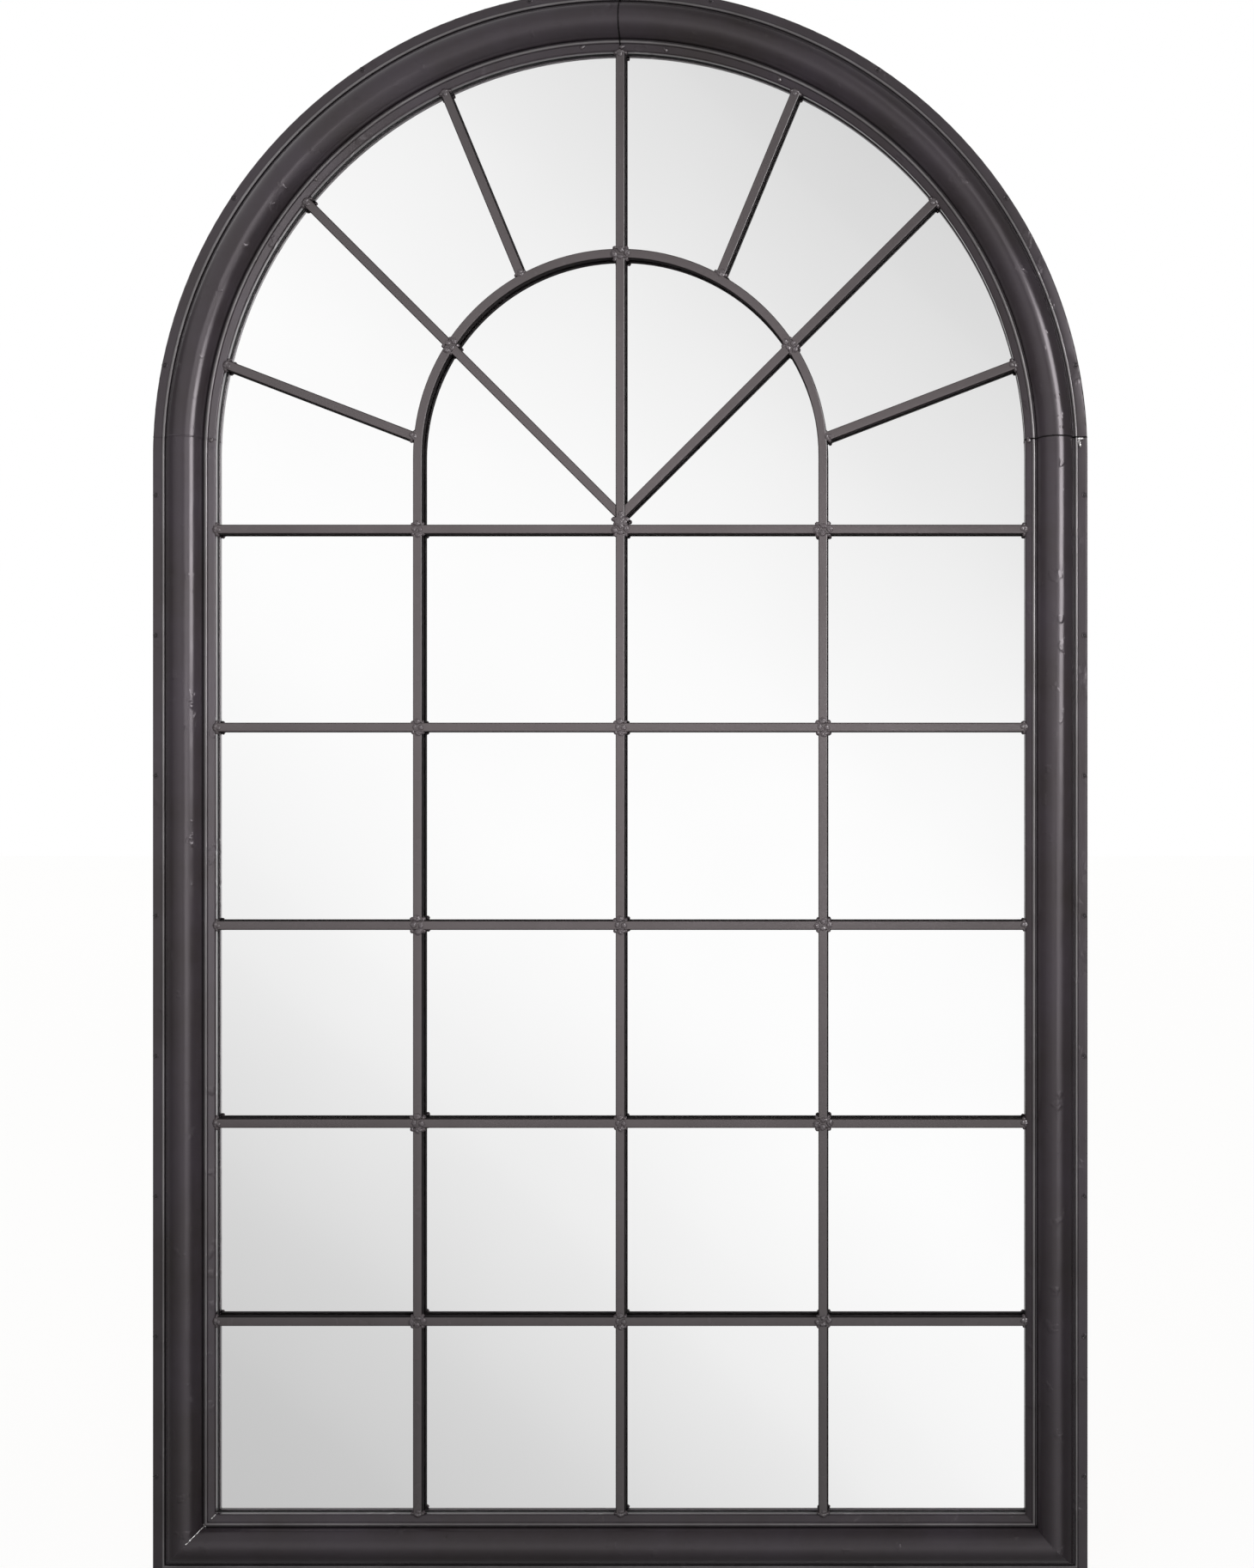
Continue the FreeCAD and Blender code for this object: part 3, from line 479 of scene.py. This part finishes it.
FRONT_FACE = -11.0           # of the bars
HALF_BAR = 5.0
TOP_CROSSBAR = 1121.6
ROW_PITCH = 212.0
BAR_ROWS = [TOP_CROSSBAR - row * ROW_PITCH for row in range(5)]
BAR_COLUMNS = (-217.0, 0.0, 217.0)
OPENING = OUTER - MOULDING_WIDTH
FAN_CENTRE = 1136.0          # height at which the spokes meet
FAN_RADIUS = 217.0           # of the fan's arch, about the springing's middle
LOW_SPOKES = (21.0, 159.0)   # degrees
DIAGONALS = (45.0, 135.0)
HIGH_SPOKES = (67.5, 112.5)
UPRIGHT = 90.0
LUMPS = 2.2                  # from lump to lump
WELD_SIZES = (0.88, 1.08)    # no two welds are quite the same
QUARTER = math.pi / 2
dice = random.Random(7)


def ball(spot, radii):
    """Ball stretched along the axes. Millimetres."""
    bpy.ops.mesh.primitive_ico_sphere_add(
        subdivisions=3, radius=1.0, location=[v * MM for v in spot])
    bpy.context.object.scale = [v * MM for v in radii]
    return bpy.context.object


def shaped(piece, kind, **settings):
    """Applies one modifier."""
    bpy.ops.object.select_all(action="DESELECT")
    bpy.context.view_layer.objects.active = piece
    modifier = piece.modifiers.new(kind.lower(), kind)
    for name, value in settings.items():
        setattr(modifier, name, value)
    bpy.ops.object.modifier_apply(modifier=modifier.name)
    return piece


def melted(balls, name, voxel, lump):
    """Balls run together into one weld. The voxel and the lumps' height are in millimetres."""
    weld = joined(balls, name)
    shaped(weld, "REMESH", mode="VOXEL", voxel_size=voxel * MM)
    clouds = bpy.data.textures.new(name, "CLOUDS")
    clouds.noise_scale = LUMPS * MM
    shaped(weld, "DISPLACE", texture=clouds, strength=lump * MM, mid_level=0.5)
    shaped(weld, "SMOOTH", factor=0.5, iterations=1)
    weld.data.shade_smooth()
    return weld


def spread(template, places, name):
    """Copies of a template at places, each an x, a z and a turn, joined into one piece."""
    copies = []
    for x, z, turn in places:
        copy = template.copy()
        copy.data = template.data.copy()
        bpy.context.scene.collection.objects.link(copy)
        size = dice.uniform(*WELD_SIZES)
        copy.matrix_world = (Matrix.Translation((x * MM, FRONT_FACE * MM, z * MM))
                             @ Matrix.Rotation(-turn, 4, "Y") @ Matrix.Scale(size, 4))
        copies.append(copy)
    bpy.data.objects.remove(template)
    return joined(copies, name)


def along(angle, radius, centre):
    """Where a ray from the spokes' meeting meets a circle, given by its radius and the
    height of its centre. An angle of 90 is up."""
    turn = math.radians(angle)
    drop = centre - FAN_CENTRE
    reach = drop * math.sin(turn) + math.sqrt(radius ** 2 - (drop * math.cos(turn)) ** 2)
    return reach * math.cos(turn), FAN_CENTRE + reach * math.sin(turn)


# The bars' paint lies thick and glossy on the welds' lumps, so that they glisten. Painted shade
# darkens the hollows between the lumps.
weld_paint = gunmetal("gunmetal_on_welds", "#453e40", "#5c5457", 0.22, 0.25, 3.0, lacquer=0.8)

crossing = melted([
    ball((-0.6, 0.1, 6.8), (4.2, 1.7, 3.4)),
    ball((0.8, 0.1, -6.8), (4.0, 1.7, 3.6)),
    ball((-3.4, 0.4, 0.4), (3.0, 1.4, 3.8)),
    ball((3.8, 0.2, -0.3), (3.3, 1.7, 3.5)),
    ball((5.6, 2.1, 5.6), (2.3, 2.6, 2.5)),
    ball((-5.8, 2.2, 5.5), (2.7, 2.7, 2.3)),
    ball((5.8, 2.1, -5.7), (2.8, 2.7, 2.7)),
    ball((-5.5, 2.3, -5.8), (2.3, 2.5, 2.5)),
], "crossing", 0.5, 1.6)
crossings = [(x, z, dice.randrange(4) * QUARTER) for z in BAR_ROWS for x in BAR_COLUMNS]
for angle in sorted((*DIAGONALS, UPRIGHT)):
    crossings.append((*along(angle, FAN_RADIUS, SPRINGING), math.radians(angle)))
crossing_welds = spread(crossing, crossings, "crossing_welds")
painted(crossing_welds, weld_paint)

end = melted([
    ball((0.2, 0.9, 0), (3.2, 1.7, 4.3)),
    ball((-3.2, 0.5, 0.8), (3.0, 1.2, 3.0)),
    ball((-1.4, 2.6, 5.5), (2.3, 2.5, 2.0)),
    ball((-1.2, 2.6, -5.4), (2.0, 2.4, 2.2)),
], "end", 0.5, 1.4)
ends = []
for z in BAR_ROWS:
    ends += [(OPENING, z, 0.0), (-OPENING, z, math.pi)]
ends += [(x, MOULDING_WIDTH, -QUARTER) for x in BAR_COLUMNS]
for angle in sorted((*LOW_SPOKES, *DIAGONALS, *HIGH_SPOKES, UPRIGHT)):
    ends.append((*along(angle, OPENING, SPRINGING), math.radians(angle)))
for angle in sorted((*LOW_SPOKES, *HIGH_SPOKES)):
    ends.append((*along(angle, FAN_RADIUS + HALF_BAR, SPRINGING), math.radians(angle + 180)))
end_welds = spread(end, ends, "end_welds")
painted(end_welds, weld_paint)

HUB_DROP = 9.4               # from the spokes' meeting
hub = melted([
    ball((0, 0.3, 3.5), (7.5, 1.8, 6.0)),
    ball((-5.5, 0.6, 5.5), (4.0, 1.6, 3.0)),
    ball((5.5, 0.6, 5.5), (4.0, 1.6, 3.0)),
    ball((0.5, 0.4, 10.5), (3.4, 1.4, 4.5)),
], "hub", 0.5, 1.7)
hub_weld = spread(hub, [(0.0, FAN_CENTRE - HUB_DROP, 0.0)], "hub_weld")
painted(hub_weld, weld_paint)


# ---------- moulding welds ----------
# Thin welds join the sheet's five pieces at the crown, the springings and the bottom
# mitres. They are filed down and painted, but two lengths of the left mitre and a blob at
# the right springing are bare. Small tacks hold the lip.

SEAM_WIDTH = 1.6
SEAM_PROUD = 0.24
SEAM_LUMPS = 3.0             # from lump to lump
SEAM_VOXEL = 0.4
SEAM_RIPPLE = 1.2            # height of the lumps, as a share of how proud the seam stands
SAME_POINT = 0.01            # points of the CAD mesh this near are one
SPRINGING_SEAM = 1219.0      # the weld has run a little above the joint
STILE_MIDDLE = 467.0
SPRINGING_SLOPE = 0.034      # the joint follows a ray of the arch


def seam(names, cuts, proud, name):
    """Piece of the sheet between cuts, thickened into a low weld. A cut is a point and the
    direction that is cut away. Millimetres."""
    copies = []
    for node_name in names:
        copy = bpy.data.objects.new(name, nodes[node_name].data.copy())
        bpy.context.scene.collection.objects.link(copy)
        copies.append(copy)
    piece = joined(copies, name)
    bpy.ops.object.mode_set(mode="EDIT")
    bpy.ops.mesh.select_all(action="SELECT")
    bpy.ops.mesh.remove_doubles(threshold=SAME_POINT * MM)
    for point, away in cuts:
        bpy.ops.mesh.select_all(action="SELECT")
        bpy.ops.mesh.bisect(plane_co=Vector(point) * MM, plane_no=away,
                            clear_outer=True, use_fill=True)
    bpy.ops.mesh.select_all(action="SELECT")
    bpy.ops.mesh.normals_make_consistent(inside=False)
    bpy.ops.object.mode_set(mode="OBJECT")
    shaped(piece, "REMESH", mode="VOXEL", voxel_size=SEAM_VOXEL * MM)
    clouds = bpy.data.textures.new(name, "CLOUDS")
    clouds.noise_scale = SEAM_LUMPS * MM
    shaped(piece, "DISPLACE", strength=proud * MM, mid_level=0.0)
    ripple = proud * SEAM_RIPPLE * MM
    shaped(piece, "DISPLACE", texture=clouds, strength=ripple, mid_level=0.5)
    shaped(piece, "SMOOTH", factor=0.5, iterations=1)
    piece.data.shade_smooth()
    return piece


def both_sides(point, across, width):
    """Two cuts that leave a slice of this width about a plane."""
    point, across = Vector(point), Vector(across).normalized()
    return [(point + across * width / 2, across), (point - across * width / 2, -across)]


# Dull and nearly black: painted shade that stands for the groove of the crown's seam and of
# the right springing's, and reads as fine dark lines. The other seams match the sheet.
seam_shade_paint = gunmetal("seams_painted_dark_as_shade", "#0f0d0e", "#1d1a1b", 0.60, 0.25, 3.0, gloss=0.12)
SEAMS = [
    ("crown_seam", ["left_arch_moulding", "right_arch_moulding"],
     (0, 0, 1650), (1, 0, 0), seam_shade_paint),
    ("left_springing_seam", ["left_stile_moulding", "left_arch_moulding"],
     (-STILE_MIDDLE, 0, SPRINGING_SEAM), (SPRINGING_SLOPE, 0, 1), sheet_paint),
    ("right_springing_seam", ["right_stile_moulding", "right_arch_moulding"],
     (STILE_MIDDLE, 0, SPRINGING_SEAM), (-SPRINGING_SLOPE, 0, 1), seam_shade_paint),
    ("left_mitre_seam", ["left_stile_moulding", "bottom_rail_moulding"],
     (-OUTER, 0, 0), (1, 0, -1), sheet_paint),
    ("right_mitre_seam", ["right_stile_moulding", "bottom_rail_moulding"],
     (OUTER, 0, 0), (1, 0, 1), sheet_paint),
]
for name, names, spot, across, finish in SEAMS:
    filed = seam(names, both_sides(spot, across, SEAM_WIDTH), SEAM_PROUD, name)
    painted(filed, finish)

# Bare mild steel weld: bright rippled metal with brown-grey scale left by the heat.
bare_weld, tree = new_finish("bare_steel_weld")
place = add(tree, "ShaderNodeTexCoord").outputs["Object"]
scale = add(tree, "ShaderNodeTexNoise", inputs={
    "Vector": place, "Scale": 1 / (2.5 * MM), "Detail": 3.0})
heat = add(tree, "ShaderNodeValToRGB", inputs={"Fac": scale.outputs["Fac"]}, stops=[
    (0.35, "#6b6768"), (0.47, "#b5b2b2"), (0.58, "#f0eeee")])
ripples = add(tree, "ShaderNodeBump", inputs={
    "Strength": 1.0, "Distance": 0.2 * MM, "Height": scale.outputs["Fac"]})
steel = add(tree, "ShaderNodeBsdfPrincipled", inputs={
    "Base Color": heat.outputs["Color"], "Metallic": 1.0, "Roughness": 0.42,
    "Normal": ripples.outputs["Normal"]})
add(tree, "ShaderNodeOutputMaterial", inputs={"Surface": steel.outputs[0]})

BEAD_PROUD = 0.7
BEAD_BACK = -8.0             # so that a bead keeps to the sheet's front
BARE_BEADS = [               # each from one inset to another, and how wide
    ("left_mitre_bead", 41.0, 57.0, 3.0),
    ("left_mitre_lip_bead", 62.5, 66.0, 2.6),
]
for name, start, stop, width in BARE_BEADS:
    cuts = both_sides((-OUTER, 0, 0), (1, 0, -1), width)
    cuts.append(((-OUTER + start, 0, start), (-1, 0, -1)))
    cuts.append(((-OUTER + stop, 0, stop), (1, 0, 1)))
    cuts.append(((0, BEAD_BACK, 0), (0, 1, 0)))
    bead = seam(["left_stile_moulding", "bottom_rail_moulding"], cuts, BEAD_PROUD, name)
    painted(bead, bare_weld)

BLOB_PLACE = (491.5, 1214.5, 0.0)
blob = melted([
    ball((0.6, -1.6, 4.0), (4.6, 2.0, 1.7)),
    ball((-1.2, -1.5, -0.4), (2.8, 1.9, 2.6)),
    ball((0.2, -1.3, -3.6), (1.6, 1.5, 2.6)),
], "blob", 0.4, 1.1)
springing_weld = spread(blob, [BLOB_PLACE], "springing_weld")
painted(springing_weld, bare_weld)

TACKS = [
    (-40.6, 1637.0, 0.3), (48.9, 1634.0, 2.0), (170.5, 1602.5, 1.1), (-326.0, 1496.0, 2.6),
    (1.5, 1637.5, 0.0), (437.0, 1216.5, 1.5), (-437.5, 1216.5, 0.7),
]
tack = melted([
    ball((0, -0.6, 0), (2.6, 1.2, 2.2)),
    ball((1.8, -0.4, 0.8), (1.8, 1.0, 1.6)),
], "tack", 0.4, 0.8)
lip_tacks = spread(tack, TACKS, "lip_tacks")
painted(lip_tacks, weld_paint)


# ---------- mirror ----------
# One sheet of float glass, silvered on its back. It stands on two blocks in the timber
# frame, pressed against the sheet's folded lip by the board behind it.

# Silvered float glass: flat and clean, with a reflection as sharp as the room and only a
# trace duller.
silver, tree = new_finish("silvered_glass")
place = add(tree, "ShaderNodeTexCoord").outputs["Object"]
haze = add(tree, "ShaderNodeTexNoise", inputs={
    "Vector": place, "Scale": 1 / (333.0 * MM), "Detail": 2.0})
tint = add(tree, "ShaderNodeValToRGB", inputs={"Fac": haze.outputs["Fac"]}, stops=[
    (0.3, "#fbfbfb"), (0.7, "#fefefe")])
mirror = add(tree, "ShaderNodeBsdfPrincipled", inputs={
    "Base Color": tint.outputs["Color"], "Metallic": 1.0, "Roughness": 0.0})
add(tree, "ShaderNodeOutputMaterial", inputs={"Surface": mirror.outputs[0]})
dress(["mirror_glass"], silver)


# ---------- timber frame ----------
# Planed pine battens, the arch's two sawn to a curve, with the grain along each piece and
# plates across the joints. Their outer edge is primed pale grey. The sheet is pinned to them.

RING_WIDTH = 12.08           # from one growth ring to the next, where a board shows them
GRAIN_DRAW = 0.035           # the grain is this much finer across the board than along it
PRIMER_REACH = (1.9, 1.5)    # how far in from the frame's outer edge, none to full


def pine(name, turn):
    """Planed pine. The turn is the grain's angle from upright, in degrees."""
    # Warm yellow bands that waver, dark pores along the grain, and a dry low sheen. The
    # pores are drawn coarser than they are, to show.
    finish, tree = new_finish(name)
    place = add(tree, "ShaderNodeTexCoord").outputs["Object"]
    level = add(tree, "ShaderNodeMapping", inputs={
        "Vector": place, "Rotation": (0.0, math.radians(turn), 0.0)})
    drawn = add(tree, "ShaderNodeMapping", inputs={
        "Vector": level.outputs[0], "Scale": (1.0, 1.0, GRAIN_DRAW)})
    waver = add(tree, "ShaderNodeTexNoise", inputs={
        "Vector": drawn.outputs[0], "Scale": 1 / (22.2 * MM), "Detail": 4.0})
    rings = add(tree, "ShaderNodeTexWave", {"wave_type": "BANDS", "bands_direction": "X"}, {
        "Vector": drawn.outputs[0], "Scale": math.pi / (10 * RING_WIDTH * MM),
        "Distortion": 9.0, "Detail": 3.0, "Detail Scale": 1.5, "Phase Offset": 3.0})
    blend = add(tree, "ShaderNodeMix", {"data_type": "FLOAT"}, {
        "Factor": 0.6, "A": rings.outputs["Fac"], "B": waver.outputs["Fac"]})
    wood = add(tree, "ShaderNodeValToRGB", inputs={"Fac": blend.outputs["Result"]}, stops=[
        (0.25, "#bd9a6b"), (0.5, "#cfae80"), (0.75, "#dcc197")])
    fibre = add(tree, "ShaderNodeTexNoise", inputs={
        "Vector": drawn.outputs[0], "Scale": 1 / (0.8 * MM), "Detail": 4.0, "Roughness": 0.7})
    pores = add(tree, "ShaderNodeValToRGB", inputs={"Fac": fibre.outputs["Fac"]}, stops=[
        (0.35, "#c9bba8"), (0.55, "#ffffff")])
    shade = add(tree, "ShaderNodeMix", MULTIPLIED, {
        "Factor": 0.8, "A": wood.outputs["Color"], "B": pores.outputs["Color"]})
    primer = add(tree, "ShaderNodeMapRange", inputs={
        "Value": edge_inset(tree, place),
        "From Min": PRIMER_REACH[0] * MM, "From Max": PRIMER_REACH[1] * MM})
    edged = add(tree, "ShaderNodeMix", {"data_type": "RGBA"}, {
        "Factor": primer.outputs[0], "A": shade.outputs["Result"], "B": linear("#cbc9cb")})
    planed = add(tree, "ShaderNodeBump", inputs={
        "Strength": 0.6, "Distance": 0.15 * MM, "Height": fibre.outputs["Fac"]})
    board = add(tree, "ShaderNodeBsdfPrincipled", inputs={
        "Base Color": edged.outputs["Result"], "Roughness": 0.62,
        "Normal": planed.outputs["Normal"]})
    add(tree, "ShaderNodeOutputMaterial", inputs={"Surface": board.outputs[0]})
    return finish


dress(["left_stile_batten", "right_stile_batten"], pine("pine_upright", 0.0))
dress(["bottom_rail_batten"], pine("pine_level", 90.0))
dress(["left_arch_batten"], pine("pine_left_arch", -45.0))
dress(["right_arch_batten"], pine("pine_right_arch", 45.0))


# ---------- backing board ----------
# Hardboard, which is wood fibre pressed hot between platens, cut to the glass. Clips on
# the timber hold it against the silvering.

# Dark brown with paler flecks of fibre, smooth on its face and a little glossy.
hardboard, tree = new_finish("hardboard")
place = add(tree, "ShaderNodeTexCoord").outputs["Object"]
flakes = add(tree, "ShaderNodeTexNoise", inputs={
    "Vector": place, "Scale": 1 / (3.0 * MM), "Detail": 6.0, "Roughness": 0.75})
patches = add(tree, "ShaderNodeTexNoise", inputs={
    "Vector": place, "Scale": 1 / (167.0 * MM), "Detail": 3.0})
fibres = add(tree, "ShaderNodeValToRGB", inputs={"Fac": flakes.outputs["Fac"]}, stops=[
    (0.32, "#4a3120"), (0.5, "#6d4b31"), (0.68, "#8a6544")])
darker = add(tree, "ShaderNodeMapRange", inputs={
    "Value": patches.outputs["Fac"], "From Min": 0.3, "From Max": 0.7,
    "To Min": 0.86, "To Max": 1.0})
pressed = add(tree, "ShaderNodeMix", MULTIPLIED, {
    "Factor": 1.0, "A": fibres.outputs["Color"], "B": darker.outputs[0]})
platen = add(tree, "ShaderNodeBump", inputs={
    "Strength": 0.4, "Distance": 0.05 * MM, "Height": flakes.outputs["Fac"]})
board = add(tree, "ShaderNodeBsdfPrincipled", inputs={
    "Base Color": pressed.outputs["Result"], "Roughness": 0.46,
    "Normal": platen.outputs["Normal"]})
add(tree, "ShaderNodeOutputMaterial", inputs={"Surface": board.outputs[0]})
dress(["backing_board"], hardboard)


# ---------- back hardware ----------
# Pressed mild steel plates, clips and straps, bent wire rings and turned screws, all zinc
# plated. Plates cross the timber joints, clips hold the board, and the rings hang in their
# curled straps.

def zinc(name, grain, roughness):
    """Bright zinc plating. The grain is the size of its clouds, in millimetres."""
    # Pale and slightly blue, with faint clouds of yellow where the plating is thin. The
    # rolled steel's fine dimples under it are drawn coarser than they are, to show.
    finish, tree = new_finish(name)
    place = add(tree, "ShaderNodeTexCoord").outputs["Object"]
    clouds = add(tree, "ShaderNodeTexNoise", inputs={
        "Vector": place, "Scale": 1 / (grain * MM), "Detail": 4.0, "Roughness": 0.6})
    plating = add(tree, "ShaderNodeValToRGB", inputs={"Fac": clouds.outputs["Fac"]}, stops=[
        (0.3, "#a9adb2"), (0.5, "#c0c3c6"), (0.7, "#c9c4b4")])
    rolled = add(tree, "ShaderNodeMapRange", inputs={
        "Value": clouds.outputs["Fac"], "From Min": 0.3, "From Max": 0.7,
        "To Min": roughness - 0.05, "To Max": roughness + 0.08})
    fine = add(tree, "ShaderNodeTexNoise", inputs={
        "Vector": place, "Scale": 1 / (0.6 * MM), "Detail": 2.0})
    dimpled = add(tree, "ShaderNodeBump", inputs={
        "Strength": 0.5, "Distance": 0.02 * MM, "Height": fine.outputs["Fac"]})
    metal = add(tree, "ShaderNodeBsdfPrincipled", inputs={
        "Base Color": plating.outputs["Color"], "Metallic": 1.0,
        "Roughness": rolled.outputs[0], "Normal": dimpled.outputs["Normal"]})
    add(tree, "ShaderNodeOutputMaterial", inputs={"Surface": metal.outputs[0]})
    return finish


dress(["joint_plates", "left_hanger_strap", "right_hanger_strap"],
      zinc("zinc_on_plates", 9.0, 0.36))
dress(["board_clips", "left_d_ring", "right_d_ring"],
      zinc("zinc_on_clips_and_rings", 5.0, 0.28))
dress(["clip_screws", "plate_screws", "hanger_screws"], zinc("zinc_on_screws", 2.0, 0.25))


# ---------- blocks, bumpers and tape ----------
# Two moulded rubber blocks carry the glass, and four rubber bumpers keep the frame off the
# wall. Black foam tape lies between the folded lip and the glass.

def black_rubber(name, dark, light, roughness, cell, depth):
    """Black rubber or foam. The cell's size and depth are in millimetres."""
    # Soft black with a faint grey bloom: moulded rubber has a low sheen, and foam none.
    # Foam's open cells break up what light it gives back.
    finish, tree = new_finish(name)
    place = add(tree, "ShaderNodeTexCoord").outputs["Object"]
    bloom = add(tree, "ShaderNodeTexNoise", inputs={
        "Vector": place, "Scale": 1 / (16.7 * MM), "Detail": 4.0})
    colour = add(tree, "ShaderNodeValToRGB", inputs={"Fac": bloom.outputs["Fac"]}, stops=[
        (0.35, dark), (0.65, light)])
    cells = add(tree, "ShaderNodeTexNoise", inputs={
        "Vector": place, "Scale": 1 / (cell * MM), "Detail": 2.0})
    skin = add(tree, "ShaderNodeBump", inputs={
        "Strength": 0.7, "Distance": depth * MM, "Height": cells.outputs["Fac"]})
    rubber = add(tree, "ShaderNodeBsdfPrincipled", inputs={
        "Base Color": colour.outputs["Color"], "Roughness": roughness,
        "Normal": skin.outputs["Normal"]})
    add(tree, "ShaderNodeOutputMaterial", inputs={"Surface": rubber.outputs[0]})
    return finish


dress(["setting_blocks", "wall_bumpers"],
      black_rubber("black_rubber", "#1b1b1c", "#262627", 0.55, 0.5, 0.05))
dress(["glazing_tape"], black_rubber("black_foam", "#141415", "#1e1e1f", 0.92, 0.8, 0.25))
